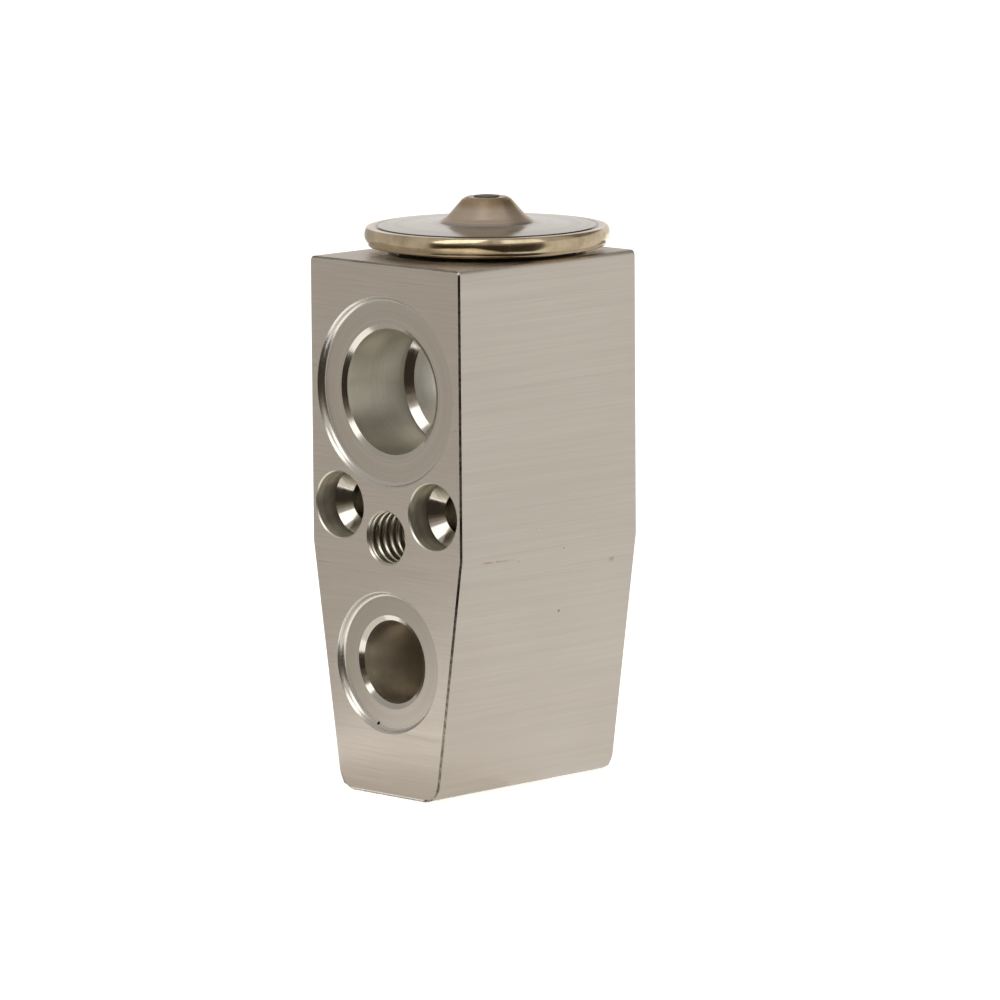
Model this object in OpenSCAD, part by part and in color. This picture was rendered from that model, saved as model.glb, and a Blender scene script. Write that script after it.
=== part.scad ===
// Block-type thermostatic expansion valve, in millimetres.
// The origin is where the valve's own axis meets the bottom face, with +Z up along that axis.
// The ports that are seen from the front open towards -Y.

/* [Block] */
// Width of the block above its waist
body_w = 32.1; // [31.5:0.1:35]
// Width that the tapered sides would reach at the bottom face, before its edges are rounded
foot_w = 20.86; // [20:0.02:24]
// Depth of the block, front face to back face
body_d = 38.1; // [37.5:0.1:43]
// Distance from the front face back to the valve's axis
axis_setback = 22.1; // [21.5:0.1:22.6]
// Height of the waist, where the sides start to taper in
waist_z = 37.8; // [34:0.1:42]
// Radius along the top edges of the two sides
top_edge_r = 0.8; // [0.3:0.1:1.4]
// Radius along the bottom edges of the two sides
foot_edge_r = 3.5; // [1:0.1:4]

/* [Heights] */
// Height of the liquid inlet port's axis above the bottom face
liquid_in_z = 20.5; // [20:0.1:22]
// Rise from the liquid inlet's axis to the liquid outlet's axis
outlet_rise = 9.6; // [9.3:0.1:10.5]
// Rise from the liquid inlet's axis to the stud hole
stud_rise = 19.15; // [18.6:0.05:21]
// Rise from the stud hole to the pair of bolt holes
bolt_rise = 4.15; // [3.5:0.05:5]
// Rise from the bolt holes to the suction passage's axis
suction_rise = 18.0; // [17.6:0.1:20]
// Height of the block, bottom face to top face
body_h = 81.4; // [81.1:0.1:84]

/* [Ports] */
// Radius of the bore that takes the suction pipe's pilot
suction_bore_r = 9.6; // [9:0.05:9.9]
// Outer radius of the shallow recess round a suction port
suction_recess_r = 14.6; // [13.2:0.1:14.8]
// Radius of the passage between the two suction bores
passage_r = 8.5; // [7.6:0.05:8.6]
// Radius of the bore that takes the liquid pipe's pilot
liquid_bore_r = 6.4; // [5.8:0.05:6.7]
// Outer radius of the shallow recess round a liquid port
liquid_recess_r = 10.9; // [9.8:0.1:11.2]
// Depth of the recess round each port
recess_depth = 1.0; // [0.6:0.1:1.4]
// How far the recess's sloping wall runs in from its outer radius
recess_wall = 1.0; // [0.5:0.1:1.2]
// Width of the narrow ledge half way down that wall, which a stepped cutter leaves
wall_ledge = 0.12; // [0.05:0.01:0.3]
// Width of the chamfer at the mouth of each port's bore
mouth_chamfer = 0.8; // [0.3:0.1:1.2]
// Depth of that chamfer
mouth_depth = 0.45; // [0.3:0.05:1.2]
// Depth of the front ports' bores below the face
front_bore_depth = 13.5; // [12.5:0.1:14.4]
// Depth of the back ports' bores below the face
back_bore_depth = 9.5; // [8:0.1:10]

/* [Flow path] */
// Radius of the hole from the liquid inlet to the valve chamber
feed_r = 2.8; // [2.2:0.1:3.2]
// Radius of the hole from the orifice to the liquid outlet
outlet_r = 4.1; // [3.2:0.1:4.4]
// Radius of the orifice that the ball closes
orifice_r = 1.9; // [1.7:0.05:2.0]
// Thickness of the web that the orifice goes through
seat_web = 1.9; // [1.4:0.1:2.1]
// Chamfer where the ball seats under the orifice
seat_chamfer = 0.25; // [0.1:0.05:0.4]
// Radius of the valve chamber
chamber_r = 4.9; // [4.7:0.05:5.2]

/* [Fastening holes] */
// Distance between the two bolt holes
bolt_spread = 20.0; // [19.4:0.1:20.4]
// Radius of the bolt holes
bolt_hole_r = 3.2; // [2.8:0.05:3.5]
// Radius of the counterbore for a bolt's head
bolt_head_r = 5.05; // [4.6:0.05:5.2]
// Depth of the counterbore for a bolt's head
bolt_head_depth = 4.0; // [3:0.1:6]
// Radius of the stud hole, to the root of its thread
stud_hole_r = 3.97; // [3.2:0.01:4.2]
// Depth of the stud hole's full thread
stud_hole_depth = 12.0; // [8:0.5:13]

/* [Power element] */
// Outer radius of the cover's rim
rim_r = 18.75; // [18.2:0.05:20]
// Thickness of the cover's rim over the foil
rim_t = 1.55; // [1.4:0.05:2]
// How far the cover's rim stands out past the base's, which its lip closes over
rim_overhang = 0.55; // [0.3:0.05:1]
// Thickness of the base's sheet
base_t = 1.2; // [1:0.05:1.5]
// Gap between the block's top face and the base's lowest face
head_gap = 0.4; // [0.3:0.05:0.8]
// Drop from the base's rim to its inner plate
base_step = 0.6; // [0.45:0.05:0.8]
// Radius where the base steps down to its inner plate
base_step_r = 15.3; // [14.6:0.1:15.8]
// Thickness of the diaphragm's foil
foil_t = 0.15; // [0.1:0.01:0.2]
// Height of a corrugation in the diaphragm above its flat
ripple_h = 0.2; // [0.05:0.01:0.25]
// Thickness of the cover's sheet over the chamber
cover_t = 1.1; // [0.9:0.05:1.3]
// Rise of the cover's dome from the rim to the foot of the cone
dome_rise = 0.55; // [0.3:0.05:0.9]
// Radius of the cone's foot, where it flares into the dome
cone_foot_r = 7.4; // [7:0.1:7.8]
// Radius of the cone just above its flare
cone_base_r = 6.1; // [5.6:0.1:6.4]
// Height of the cone's flare above the dome
cone_flare_h = 0.85; // [0.5:0.05:1.2]
// Radius at the top of the cone's side
cone_top_r = 3.75; // [3.2:0.05:4]
// Height of the cone's side between its flare and its top
cone_h = 2.65; // [2:0.05:3.5]
// Radius of the charge plug's head
plug_r = 1.95; // [1.5:0.05:2.2]
// Radius of the threaded neck that holds the power element
neck_r = 11.95; // [11.5:0.05:12]
// Length of the neck below the block's top face
neck_length = 6.5; // [5:0.1:7]
// Radius of the neck's bore
neck_bore_r = 8.0; // [7.5:0.1:8.2]
// Radius of the stop plate under the diaphragm
stop_plate_r = 9.0; // [8.6:0.1:9.4]

/* [Valve train] */
// Radius of the shaft that crosses the suction passage
shaft_r = 3.3; // [2.8:0.05:3.6]
// Radius of the push rod
rod_r = 1.2; // [1:0.05:1.3]
// Radius of the valve's ball
ball_r = 2.38; // [2.3:0.01:2.5]
// How far the stem travels from open to closed
stem_travel = 0.6; // [0.3:0.05:0.8]
// Gap that is left between ball and seat at the end of the travel
seat_gap = 0.05; // [0.02:0.01:0.1]
// Radial clearance of a round piece that slides or turns in its hole
running_gap = 0.05; // [0.02:0.01:0.08]
// Mean radius of the valve spring's coils
spring_r = 3.4; // [3.3:0.05:3.6]
// Radius of the valve spring's wire
wire_r = 0.5; // [0.4:0.05:0.55]
// Turns of the valve spring, with its two closed ones
spring_turns = 7; // [5:1:8]
// Radius of the adjusting screw
screw_r = 6.0; // [5.6:0.05:6.2]
// Length of the adjusting screw's threaded part
screw_length = 7.0; // [6:0.1:7.5]
// How far the adjusting screw stands in from the bottom face
screw_inset = 1.5; // [1.2:0.1:2]
// Width across the flats of the adjusting screw's socket
socket_af = 5.0; // [4:0.1:5.5]
// Depth of the adjusting screw's socket
socket_depth = 2.4; // [1.5:0.1:2.6]
// How far the adjusting screw can travel either way from its set place
screw_travel = 1.0; // [0.5:0.1:1.2]

/* [Hidden] */
$fn = 96;

// Block
front_y = -axis_setback;
back_y = body_d - axis_setback;
liquid_out_z = liquid_in_z + outlet_rise;
stud_z = liquid_in_z + stud_rise;
bolt_z = stud_z + bolt_rise;
suction_z = bolt_z + suction_rise;
taper = atan((body_w - foot_w) / 2 / waist_z);
over = 1;                                // how far a cutter reaches past the face that it opens
drill_angle = 59;                        // half the angle of a drill's point
outlet_past = 3;                         // how far the outlet's hole runs past the valve's axis
split_setback = 2;                       // from the valve's axis to where the passage's cutters meet

// Power element, from the block's top face up
base_low = body_h + head_gap;
base_rim_low = base_low + base_step;
foil_low = base_rim_low + base_t;
rim_low = foil_low + foil_t;
rim_top = rim_low + rim_t;
cone_foot_z = rim_top + dome_rise;
cone_base_z = cone_foot_z + cone_flare_h;
cone_top_z = cone_base_z + cone_h;
shoulder_h = 0.38;                       // of the rounded edge round the cone's flat top
shoulder_r = 0.7;
cone_flat_z = cone_top_z + shoulder_h;
plug_seat_z = cone_flat_z - 0.45;
clamp_r = base_step_r - 0.3;             // the cover and base hold the foil outside this radius
rim_round_w = 1.3;                       // from the rim's crest out to where it is widest
rim_round_h = 1.25;                      // from there up to the crest
rim_mid_z = rim_top - rim_round_h;
rim_groove_r = rim_r - 1.85;
rim_groove = 0.14;
base_rim_r = rim_r - rim_overhang;
lip_w = 0.85;                            // how far the base's thinned rim runs under the cover's lip
lip_r = base_rim_r - lip_w;
lip_gap = 0.05;                          // between the lip and the base's full thickness
lip_low = base_rim_low + 0.55;
foil_r = lip_r - 0.15;
plate_hole_gap = 0.3;                    // round the stop plate, inside the base's plate
base_hole_r = stop_plate_r + plate_hole_gap;
neck_mouth = 2.3;                        // chamfer at the top of the neck's hole, which holds a seal
neck_hole_r = neck_r + running_gap;
neck_hole_floor = body_h - neck_length - 1.2;
head_seal_r = 0.7;

// Valve train, from the seat down
seat_z = liquid_out_z - outlet_r - seat_web;
seat_edge_z = seat_z + seat_chamfer;
ball_drop = sqrt(ball_r * ball_r - orifice_r * orifice_r);
ball_z = seat_edge_z - ball_drop - seat_gap - stem_travel;
touch_gap = 0.02;                        // between pieces that bear on each other
carrier_top = ball_z - 0.9;
carrier_t = 2.0;
carrier_r = chamber_r - 1.0;
carrier_low = carrier_top - carrier_t;
ring_t = 0.25;                           // sheet of the damper ring
spring_top = carrier_low - ring_t - touch_gap;
spring_low = screw_inset + screw_length;
wire_d = 2 * wire_r;
boss_r = spring_r - wire_r - 0.15;       // centres the spring on the carrier and on the screw
boss_h = 1.6;
screw_hole_r = screw_r + running_gap;
screw_hole_top = spring_low + screw_travel + 1.0;
seal_groove_drop = 3.4;                  // from the screw's top face to the foot of its seal's groove
seal_groove_z = screw_inset + screw_length - seal_groove_drop;
seal_groove_h = 1.9;
seal_groove_r = screw_r - 1.5;
adjuster_seal_r = 0.7;

// Stem above the seat
shaft_hole_r = shaft_r + running_gap;
shaft_hole_floor = bolt_z + 1.7;
rod_hole_r = rod_r + running_gap;
shaft_seal_r = (shaft_hole_r - rod_r) / 2 - 0.06;
shaft_seal_mean_r = (shaft_hole_r + rod_r) / 2;
retainer_t = 0.4;
retainer_z = shaft_hole_floor + 2 * shaft_seal_r + 0.3;
shaft_low = retainer_z + retainer_t + 1.2;
rod_low = ball_z + ball_r + touch_gap;
rod_socket = 6.0;                        // how deep the rod stands in the shaft
plate_t = foil_low - base_low - touch_gap;
socket_r = shaft_r + 1.5;
socket_h = 2.6;                          // of the stop plate's socket below the plate
shaft_top = base_low + 0.6;
vapour_hole_r = 0.9;

// A closed outline's points are [radius, height] for pieces turned about the valve's axis.

// An upright cylinder between two heights
module bar(r, z0, z1) {
    translate([0, 0, z0]) cylinder(r = r, h = z1 - z0);
}

// A bar with equal chamfers at both ends
module pin(r, z0, z1, c) {
    rotate_extrude()
        polygon([[0, z0], [r - c, z0], [r, z0 + c], [r, z1 - c], [r - c, z1], [0, z1]]);
}

// A ring of round section
module o_ring(mean_r, section_r, z) {
    translate([0, 0, z]) rotate_extrude() translate([mean_r, 0]) circle(r = section_r);
}

// Turns a cutter that points along +Z so that it goes into the front face
module from_front(x, z) {
    translate([x, front_y, z]) rotate([-90, 0, 0]) children();
}

// Turns a cutter that points along +Z so that it goes into the back face
module from_back(x, z) {
    translate([x, back_y, z]) rotate([90, 0, 0]) children();
}

// The block's outline, seen from the front: straight sides, a taper and rounded corners
module block_outline() {
    top_x = body_w / 2 - top_edge_r;
    foot_x = foot_w / 2 + foot_edge_r * tan(taper) - foot_edge_r / cos(taper);
    right = [[foot_x, 0],
             [foot_x + foot_edge_r * cos(taper), foot_edge_r * (1 - sin(taper))],
             [body_w / 2, waist_z],
             [body_w / 2, body_h - top_edge_r],
             [top_x, body_h]];
    left = [for (i = [len(right) - 1 : -1 : 0]) [-right[i][0], right[i][1]]];
    polygon(concat(right, left));
    for (side = [-1, 1]) {
        translate([side * top_x, body_h - top_edge_r]) circle(r = top_edge_r);
        translate([side * foot_x, foot_edge_r]) circle(r = foot_edge_r);
    }
}

// Cuts a port: a recess whose sloping wall has a ledge and a rounded foot, a chamfered bore, and a cone
// to the hole behind
module port_cutter(recess_r, bore_r, depth, inner_r, cone_angle, inner_end) {
    floor_r = recess_r - recess_wall;
    slope_w = (recess_wall - wall_ledge) / 2;
    ledge_depth = recess_depth * 0.46;
    round_start = [floor_r + slope_w / 2, (recess_depth + ledge_depth) / 2];
    round_end = [floor_r - slope_w / 2, recess_depth];
    round_steps = 6;
    foot = [for (i = [0 : round_steps]) let (t = i / round_steps)
                (1 - t) * (1 - t) * round_start + 2 * t * (1 - t) * [floor_r, recess_depth]
                + t * t * round_end];
    step = (bore_r - inner_r) / tan(cone_angle);
    rotate_extrude()
        polygon(concat([[0, -over], [recess_r, -over], [recess_r, 0],
                        [recess_r - slope_w, ledge_depth],
                        [recess_r - slope_w - wall_ledge, ledge_depth]],
                       foot,
                       [[bore_r + mouth_chamfer, recess_depth],
                        [bore_r, recess_depth + mouth_depth],
                        [bore_r, depth],
                        [inner_r, depth + step],
                        [inner_r, inner_end],
                        [0, inner_end]]));
}

// Cuts a bolt hole with its counterbore, right through the block
module bolt_cutter() {
    rim = 0.2;
    step = bolt_head_r - bolt_hole_r;
    rotate_extrude()
        polygon([[0, -over], [bolt_head_r + rim, -over], [bolt_head_r + rim, 0],
                 [bolt_head_r, rim], [bolt_head_r, bolt_head_depth],
                 [bolt_hole_r, bolt_head_depth + step],
                 [bolt_hole_r, body_d - rim], [bolt_hole_r + rim, body_d],
                 [bolt_hole_r + rim, body_d + over], [0, body_d + over]]);
}

// Cuts the blind stud hole, with the point that its drill leaves
module stud_cutter() {
    mouth = 0.25;
    point = stud_hole_r / tan(drill_angle);
    rotate_extrude()
        polygon([[0, -over], [stud_hole_r + mouth, -over], [stud_hole_r + mouth, 0],
                 [stud_hole_r, mouth], [stud_hole_r, stud_hole_depth],
                 [0, stud_hole_depth + point]]);
}

// Cuts everything on the valve's own axis, from the power element down to the adjusting screw
module axis_cutter() {
    mouth_r = neck_hole_r + neck_mouth;
    rotate_extrude() {
        polygon([[0, body_h + over], [mouth_r, body_h + over], [mouth_r, body_h],
                 [neck_hole_r, body_h - neck_mouth], [neck_hole_r, neck_hole_floor],
                 [socket_r + 0.7, neck_hole_floor], [socket_r + 0.7, suction_z], [0, suction_z]]);
        polygon([[0, suction_z], [shaft_hole_r, suction_z], [shaft_hole_r, shaft_hole_floor],
                 [rod_hole_r, shaft_hole_floor], [rod_hole_r, liquid_out_z], [0, liquid_out_z]]);
        polygon([[0, liquid_out_z], [orifice_r, liquid_out_z], [orifice_r, seat_edge_z],
                 [orifice_r + seat_chamfer, seat_z], [chamber_r, seat_z],
                 [chamber_r, screw_hole_top], [screw_hole_r, screw_hole_top],
                 [screw_hole_r, 0.4], [screw_hole_r + 0.4, 0], [screw_hole_r + 0.4, -over],
                 [0, -over]]);
    }
}

// The extruded and machined block
module valve_body() {
    suction_split = axis_setback - split_setback;
    color([0.66, 0.62, 0.56])
    difference() {
        translate([0, back_y, 0]) rotate([90, 0, 0]) linear_extrude(body_d) block_outline();
        from_front(0, suction_z)
            port_cutter(suction_recess_r, suction_bore_r, front_bore_depth, passage_r, 45,
                        suction_split);
        from_back(0, suction_z)
            port_cutter(suction_recess_r, suction_bore_r, back_bore_depth, passage_r, 45,
                        body_d - suction_split);
        from_front(0, liquid_in_z)
            port_cutter(liquid_recess_r, liquid_bore_r, front_bore_depth, feed_r, drill_angle,
                        axis_setback);
        from_back(0, liquid_out_z)
            port_cutter(liquid_recess_r, liquid_bore_r, back_bore_depth, outlet_r, drill_angle,
                        back_y + outlet_past);
        for (side = [-1, 1]) from_front(side * bolt_spread / 2, bolt_z) bolt_cutter();
        from_front(0, stud_z) stud_cutter();
        axis_cutter();
    }
}

// The upper stamping: a rim that is rolled and welded over the base's, a shallow dome and the cone that
// holds the charge plug
module head_cover() {
    fullness = 0.8;                      // of the rim's round: 1 is an ellipse, less is squarer
    foot_a = -asin(pow((rim_mid_z - lip_low) / rim_round_h, 1 / fullness));
    round_steps = 24;
    rim_round = [for (i = [0 : round_steps]) let (a = foot_a + (90 - foot_a) * i / round_steps)
                     [rim_r - rim_round_w * (1 - pow(abs(cos(a)), fullness)),
                      rim_mid_z + rim_round_h * sign(a) * pow(abs(sin(a)), fullness)]];
    slope = atan(cone_h / (cone_base_r - cone_top_r));
    inner_rise = rim_top - cover_t;
    inner_flat = cone_flat_z - cover_t;
    hole_r = plug_r - 0.6;
    function inner_r(z) = cone_base_r - cover_t / sin(slope) - (z - cone_base_z) / tan(slope);
    color([0.62, 0.55, 0.44])
    rotate_extrude() {
        polygon(concat([[hole_r, plug_seat_z], [hole_r, inner_flat],
                        [inner_r(inner_flat), inner_flat],
                        [inner_r(cone_base_z - 0.4), cone_base_z - 0.4],
                        [cone_foot_r - 0.3, cone_foot_z - cover_t], [clamp_r - 0.4, inner_rise],
                        [clamp_r, rim_low], [lip_r, rim_low], [lip_r, lip_low]],
                       rim_round,
                       [[rim_groove_r + 0.3, rim_top - 0.02],
                        [rim_groove_r, rim_top - rim_groove], [rim_groove_r - 0.35, rim_top],
                        [cone_foot_r, cone_foot_z],
                        [cone_base_r + (cone_foot_r - cone_base_r) * 0.35,
                         cone_foot_z + cone_flare_h * 0.3],
                        [cone_base_r, cone_base_z], [cone_top_r, cone_top_z],
                        [cone_top_r - shoulder_r * 0.4, cone_top_z + shoulder_h * 0.7],
                        [cone_top_r - shoulder_r, cone_flat_z], [plug_r + 0.05, cone_flat_z],
                        [plug_r + 0.05, plug_seat_z]]));
    }
}

// The lower stamping: a rim that is thinned under the cover's lip and steps down to the plate on the neck
module head_base() {
    edge_r = 0.3;
    round_steps = 8;
    rim_round = [for (i = [0 : round_steps]) let (a = -90 + 90 * i / round_steps)
                     [base_rim_r - edge_r + edge_r * cos(a), base_rim_low + edge_r + edge_r * sin(a)]];
    rim_high = base_rim_low + base_t;
    color([0.60, 0.53, 0.42])
    rotate_extrude() {
        polygon(concat([[base_hole_r, base_low], [base_step_r - 0.2, base_low],
                        [base_step_r, base_low + 0.2], [base_step_r + 0.1, base_rim_low]],
                       rim_round,
                       [[base_rim_r, lip_low], [lip_r - lip_gap, lip_low], [lip_r - lip_gap, rim_high],
                        [clamp_r, rim_high], [clamp_r - 0.3, base_low + base_t],
                        [base_hole_r, base_low + base_t]]));
    }
}

// The threaded neck, whose top face is the stop for the stop plate
module head_neck() {
    lead = 0.6;
    color([0.55, 0.53, 0.50])
    rotate_extrude()
        polygon([[neck_bore_r, body_h - neck_length], [neck_r - lead, body_h - neck_length],
                 [neck_r, body_h - neck_length + lead], [neck_r, base_low],
                 [neck_bore_r, base_low]]);
}

// The corrugated foil between cover and base
module diaphragm() {
    ripple_in = stop_plate_r + 0.6;
    ripple_out = clamp_r - 0.5;
    ripples = 3;
    steps = 24;
    function wave(r) = ripple_h / 2 * (1 - cos(360 * ripples * (r - ripple_in) / (ripple_out - ripple_in)));
    middle = [for (i = [0 : steps]) let (r = ripple_in + (ripple_out - ripple_in) * i / steps)
                  [r, foil_low + wave(r)]];
    under = concat([[0, foil_low]], middle, [[foil_r, foil_low]]);
    above = [for (i = [len(under) - 1 : -1 : 0]) under[i] + [0, foil_t]];
    color([0.72, 0.72, 0.72]) rotate_extrude() polygon(concat(under, above));
}

// The plug that closes the charging hole in the cone's top
module charge_plug() {
    head_high = cone_flat_z + 0.16;
    stem_r = plug_r - 0.65;
    stem_length = 1.9;
    stem_low = cone_flat_z - stem_length;
    color([0.22, 0.20, 0.18])
    rotate_extrude()
        polygon([[0, stem_low], [stem_r - 0.3, stem_low], [stem_r, stem_low + 0.4],
                 [stem_r, plug_seat_z], [plug_r, plug_seat_z], [plug_r, head_high - 0.1],
                 [plug_r - 0.2, head_high], [0, head_high]]);
}

// The seal in the chamfer under the power element
module head_seal() {
    color([0.12, 0.14, 0.12]) o_ring(neck_r + head_seal_r + 0.1, head_seal_r, base_low - head_seal_r - 0.05);
}

// The plate that the diaphragm bears on, with a socket for the shaft and holes for the vapour
module stop_plate() {
    color([0.70, 0.70, 0.68])
    difference() {
        union() {
            pin(stop_plate_r, base_low, base_low + plate_t, 0.2);
            bar(socket_r, base_low - socket_h, base_low + 0.3);
        }
        bar(shaft_r + touch_gap, base_low - socket_h - over, shaft_top + touch_gap);
        for (a = [45 : 90 : 315])
            rotate(a) translate([(socket_r + neck_bore_r) / 2, 0, 0])
                bar(vapour_hole_r, base_low - over, base_low + plate_t + over);
    }
}

// The shaft that feels the suction vapour's heat and carries the diaphragm's push down
module sensing_shaft() {
    color([0.78, 0.78, 0.76])
    difference() {
        pin(shaft_r, shaft_low, shaft_top, 0.4);
        bar(rod_r + touch_gap, shaft_low - over, shaft_low + rod_socket + touch_gap);
    }
}

// The seal round the push rod, at the floor of the shaft's hole
module shaft_seal() {
    color([0.10, 0.10, 0.10]) o_ring(shaft_seal_mean_r, shaft_seal_r, shaft_hole_floor + shaft_seal_r + 0.03);
}

// The toothed push-in ring that keeps the shaft's seal down
module seal_retainer() {
    teeth = 8;
    outer_r = shaft_hole_r - 0.03;
    color([0.60, 0.60, 0.62])
    difference() {
        bar(outer_r, retainer_z, retainer_z + retainer_t);
        bar(rod_r + 0.35, retainer_z - over, retainer_z + retainer_t + over);
        for (i = [0 : teeth - 1])
            rotate(i * 360 / teeth) translate([outer_r - 0.55, -0.2, retainer_z - over])
                cube([over, 0.4, retainer_t + 2 * over]);
    }
}

// The thin rod from the shaft, through the orifice, to the ball
module push_rod() {
    color([0.80, 0.80, 0.82]) pin(rod_r, rod_low, shaft_low + rod_socket, 0.15);
}

// The ball that closes the orifice
module valve_ball() {
    color([0.82, 0.82, 0.84]) translate([0, 0, ball_z]) sphere(r = ball_r);
}

// The cup that holds the ball on the spring
module ball_carrier() {
    cup_angle = 50;                      // from the axis to the cup's wall
    cup_low = ball_z - (ball_r + touch_gap) / sin(cup_angle);
    cup_r = (carrier_top - cup_low) * tan(cup_angle);
    color([0.72, 0.66, 0.45])
    rotate_extrude()
        polygon([[0, carrier_low - boss_h], [boss_r - 0.3, carrier_low - boss_h],
                 [boss_r, carrier_low - boss_h + 0.3], [boss_r, carrier_low],
                 [carrier_r, carrier_low], [carrier_r, carrier_top - 0.3],
                 [carrier_r - 0.3, carrier_top], [cup_r, carrier_top], [0, cup_low]]);
}

// The spring ring under the carrier, whose four bowed legs rub on the chamber's wall to damp the ball
module damper_ring() {
    legs = 4;
    leg_angle = 36;
    wall_gap = 0.1;
    bow_h = 1.3;                         // height of the place where a leg touches the wall
    leg_h = 2.4;
    lean = 0.2;                          // how far a leg leans in at its foot and at its top
    low = carrier_low - ring_t;
    bow_r = chamber_r - wall_gap;
    color([0.55, 0.57, 0.60]) {
        rotate_extrude()
            polygon([[boss_r + touch_gap, low], [carrier_r, low], [carrier_r, low + ring_t],
                     [boss_r + touch_gap, low + ring_t]]);
        for (i = [0 : legs - 1])
            rotate(i * 360 / legs - leg_angle / 2)
                rotate_extrude(angle = leg_angle)
                    polygon([[carrier_r - lean / 2, low], [carrier_r + lean, low],
                             [bow_r, low + bow_h], [bow_r - lean, low + leg_h],
                             [bow_r - lean - ring_t, low + leg_h], [bow_r - ring_t, low + bow_h],
                             [carrier_r + lean / 2, low + ring_t],
                             [carrier_r - lean / 2, low + ring_t]]);
    }
}

// The valve spring: a wire wound round the axis with closed, ground ends
module valve_spring() {
    sides = 8;
    steps = 18;                          // rings of points in each turn
    coil_gap = 0.08;                     // between a closed turn and the next
    closed = wire_d + coil_gap;          // what a closed turn rises
    ground = 0.4 * wire_r;               // how far each end is ground off
    span = spring_top - spring_low;
    start = wire_r - ground;
    active = (span - 2 * start - 2 * closed) / (spring_turns - 2);
    function rise(t) = t < 1 ? closed * t
        : t < spring_turns - 1 ? closed + active * (t - 1)
        : closed + active * (spring_turns - 2) + closed * (t - spring_turns + 1);
    function held(z) = min(max(z, spring_low), spring_top);
    rings = spring_turns * steps;
    points = [for (i = [0 : rings], j = [0 : sides - 1])
        let (t = i / steps, a = 360 * t, b = 360 * (j + 0.5) / sides, r = spring_r + wire_r * cos(b))
        [r * cos(a), r * sin(a), held(spring_low + start + rise(t) + wire_r * sin(b))]];
    walls = [for (i = [0 : rings - 1], j = [0 : sides - 1])
        let (k = (j + 1) % sides)
        [i * sides + j, i * sides + k, (i + 1) * sides + k, (i + 1) * sides + j]];
    first = [for (j = [sides - 1 : -1 : 0]) j];
    last = [for (j = [0 : sides - 1]) rings * sides + j];
    color([0.66, 0.68, 0.70]) polyhedron(points, concat(walls, [first], [last]), convexity = 10);
}

// The screw in the block's foot that sets the spring's force
module adjusting_screw() {
    top = spring_low;
    lead = 0.5;
    color([0.70, 0.62, 0.38])
    difference() {
        rotate_extrude()
            polygon([[0, screw_inset], [screw_r - lead, screw_inset],
                     [screw_r, screw_inset + lead], [screw_r, seal_groove_z],
                     [seal_groove_r, seal_groove_z], [seal_groove_r, seal_groove_z + seal_groove_h],
                     [screw_r, seal_groove_z + seal_groove_h], [screw_r, top - lead],
                     [screw_r - lead, top], [boss_r, top], [boss_r, top + boss_h - 0.3],
                     [boss_r - 0.3, top + boss_h], [0, top + boss_h]]);
        translate([0, 0, screw_inset - over])
            cylinder(r = socket_af / 2 / cos(30), h = socket_depth + over, $fn = 6);
    }
}

// The seal in the adjusting screw's groove
module adjuster_seal() {
    color([0.10, 0.10, 0.10])
        o_ring(screw_hole_r - adjuster_seal_r - 0.03, adjuster_seal_r,
               seal_groove_z + seal_groove_h / 2);
}

valve_body();
head_cover();
head_base();
head_neck();
diaphragm();
charge_plug();
head_seal();
stop_plate();
sensing_shaft();
shaft_seal();
seal_retainer();
push_rod();
valve_ball();
ball_carrier();
damper_ring();
valve_spring();
adjusting_screw();
adjuster_seal();
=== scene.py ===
import math
from functools import partial

import bmesh
import bpy
import numpy as np
from mathutils import Matrix, Vector


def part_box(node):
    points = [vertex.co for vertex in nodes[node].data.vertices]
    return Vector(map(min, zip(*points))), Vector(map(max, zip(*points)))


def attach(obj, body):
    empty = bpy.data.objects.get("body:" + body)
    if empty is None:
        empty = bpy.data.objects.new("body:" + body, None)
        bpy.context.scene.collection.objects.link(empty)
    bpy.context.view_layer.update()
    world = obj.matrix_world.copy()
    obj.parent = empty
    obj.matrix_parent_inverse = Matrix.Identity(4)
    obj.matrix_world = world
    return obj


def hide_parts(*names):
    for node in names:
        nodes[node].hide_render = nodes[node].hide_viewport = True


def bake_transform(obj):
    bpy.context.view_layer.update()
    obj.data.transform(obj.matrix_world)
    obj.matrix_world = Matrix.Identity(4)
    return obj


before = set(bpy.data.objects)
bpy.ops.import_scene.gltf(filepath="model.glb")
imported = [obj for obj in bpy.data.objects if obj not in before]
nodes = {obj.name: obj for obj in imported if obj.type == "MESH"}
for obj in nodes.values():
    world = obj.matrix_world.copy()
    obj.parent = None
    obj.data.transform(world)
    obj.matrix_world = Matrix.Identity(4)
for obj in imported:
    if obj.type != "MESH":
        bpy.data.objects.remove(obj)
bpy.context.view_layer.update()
mm = 0.001
print("stage: frame loaded,", len(nodes), "nodes")


def direction(azimuth, elevation):
    # from the valve to a viewer at these angles in degrees, where azimuth 0 is in front of it
    a, e = math.radians(azimuth), math.radians(elevation)
    return Vector((math.sin(a) * math.cos(e), -math.cos(a) * math.cos(e), math.sin(e)))


def addObject(name, data):
    made = bpy.data.objects.new(name, data)
    bpy.context.scene.collection.objects.link(made)
    return made


# The camera stands in front of the valve's right front corner, a little above it.
viewpoint = {
    "azimuth": 45.055, "elevation": 8.605, "roll": -0.456,
    "lens": 259.77, "sensor": 36, "distance": 1.1018,
    "aim": (0.0, -0.00424, 0.04169),
    "aimPixel": (469.55, 511.65), "frameSize": 1000,     # the aim isn't in the middle of the picture
    "clip": (0.05, 60),
}


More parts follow.
